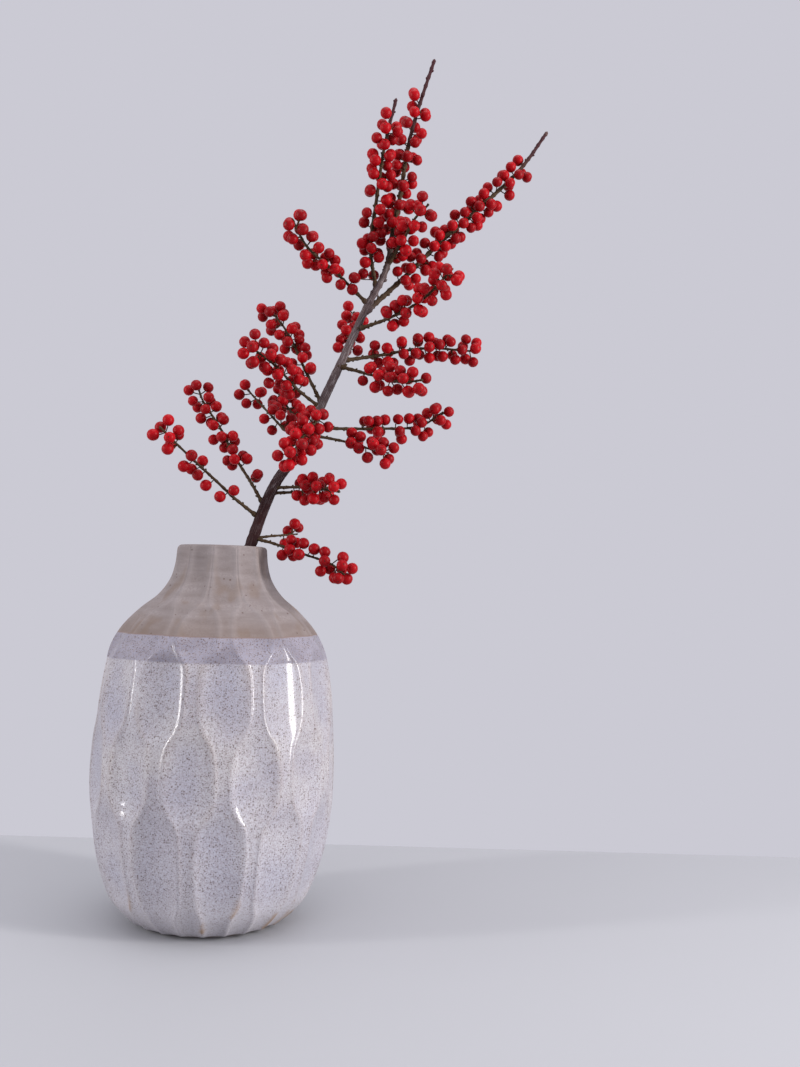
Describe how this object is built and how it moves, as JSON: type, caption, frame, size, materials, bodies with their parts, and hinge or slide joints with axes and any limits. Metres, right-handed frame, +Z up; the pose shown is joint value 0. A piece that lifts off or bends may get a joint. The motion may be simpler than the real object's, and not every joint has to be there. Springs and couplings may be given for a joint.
{
  "type": "vase of winterberry branches",
  "caption": "A cut branch of red winterberries leaning in a narrow-necked carved stoneware vase with a dipped speckled glaze.",
  "frame": {"origin": "centre of the flat foot disc on the underside of the vase", "axes": "+Z up along the vase's axis; -Y towards the side the branch is seen from; +X towards the side the branch leans to"},
  "size_m": [0.2676, 0.1418, 0.5312],
  "materials": {
    "stoneware": "bare matt clay on neck and shoulder, glossy speckled off-white glaze below a dip line",
    "bark": "dull brown bark with pale lenticels",
    "berries": "smooth satin red skin"
  },
  "bodies": {
    "root": {"berries_back_a": "berries", "berries_fork_a": "berries", "berries_front_a": "berries", "berries_leader_a": "berries", "berries_left_back_a": "berries", "berries_left_back_b": "berries", "berries_left_front_a": "berries", "berries_left_high_a": "berries", "berries_low_left_inner_a": "berries", "berries_low_left_inner_b": "berries", "berries_low_left_inner_c": "berries", "berries_low_left_outer_a": "berries", "berries_low_left_outer_b": "berries", "berries_low_left_outer_c": "berries", "berries_low_left_outer_d": "berries", "berries_low_right_back_a": "berries", "berries_low_right_front_a": "berries", "berries_mouth_back_a": "berries", "berries_mouth_front_a": "berries", "berries_mouth_front_b": "berries", "berries_right_front_a": "berries", "berries_right_long_a": "berries", "berries_right_low_back_a": "berries", "berries_right_low_front_a": "berries", "berries_top_left_a": "berries", "berries_top_right_a": "berries", "berries_upper_back_a": "berries", "berries_upper_left_a": "berries", "berries_upper_right_a": "berries", "main_stem": "bark", "twig_back": "bark", "twig_fork": "bark", "twig_front": "bark", "twig_left_back": "bark", "twig_left_front": "bark", "twig_left_high": "bark", "twig_low_left_inner": "bark", "twig_low_left_outer": "bark", "twig_low_right_back": "bark", "twig_low_right_front": "bark", "twig_mouth_back": "bark", "twig_mouth_front": "bark", "twig_right_front": "bark", "twig_right_long": "bark", "twig_right_low_back": "bark", "twig_right_low_front": "bark", "twig_top_left": "bark", "twig_top_right": "bark", "twig_upper_back": "bark", "twig_upper_left": "bark", "twig_upper_right": "bark", "vase": "stoneware"}
  },
  "joints": []
}
